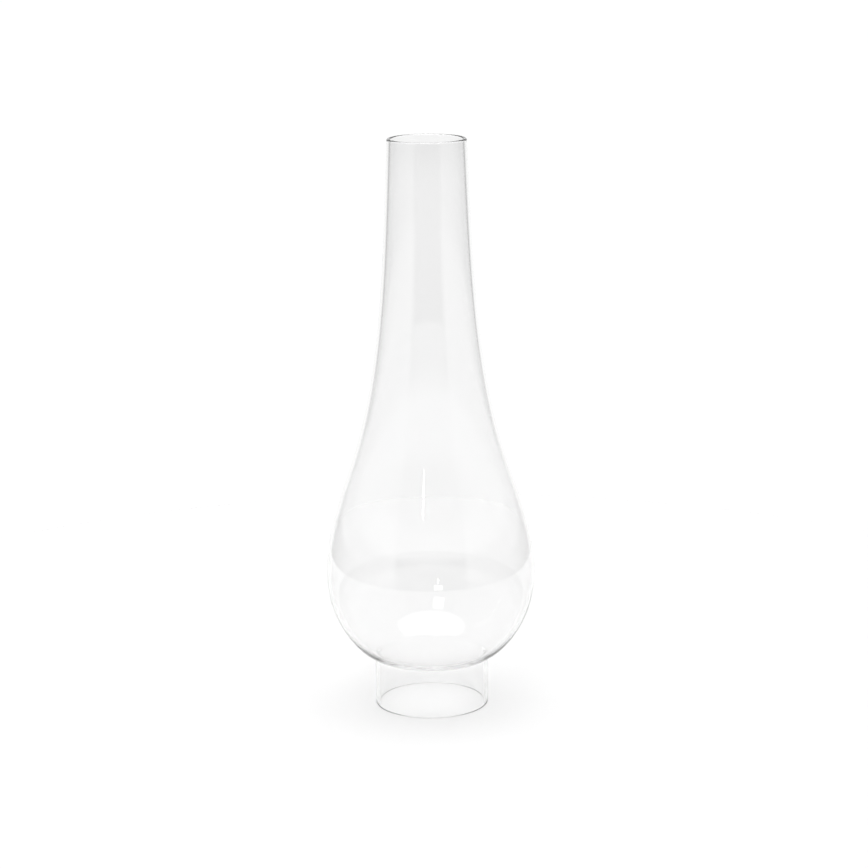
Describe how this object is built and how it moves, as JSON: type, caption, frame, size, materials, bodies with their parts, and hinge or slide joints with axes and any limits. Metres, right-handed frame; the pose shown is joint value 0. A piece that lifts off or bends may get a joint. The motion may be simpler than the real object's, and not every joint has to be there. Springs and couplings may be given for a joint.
{
  "type": "oil lamp chimney",
  "caption": "Clear blown-glass oil lamp chimney: a short straight fitter, a pear-shaped belly around the flame and a long tapering neck with a fire-polished lip.",
  "frame": {"origin": "middle of the foot rim, on the surface that the chimney stands on", "axes": "+Z along the chimney's axis, from the fitter up to the lip; it is a turned shape, so +X and +Y are free"},
  "size_m": [0.0906, 0.0906, 0.2485],
  "materials": {
    "clear_glass": "clear blown glass, fire-polished at the lip and the foot rim"
  },
  "bodies": {
    "root": {"glass_chimney": "clear_glass"}
  },
  "joints": []
}
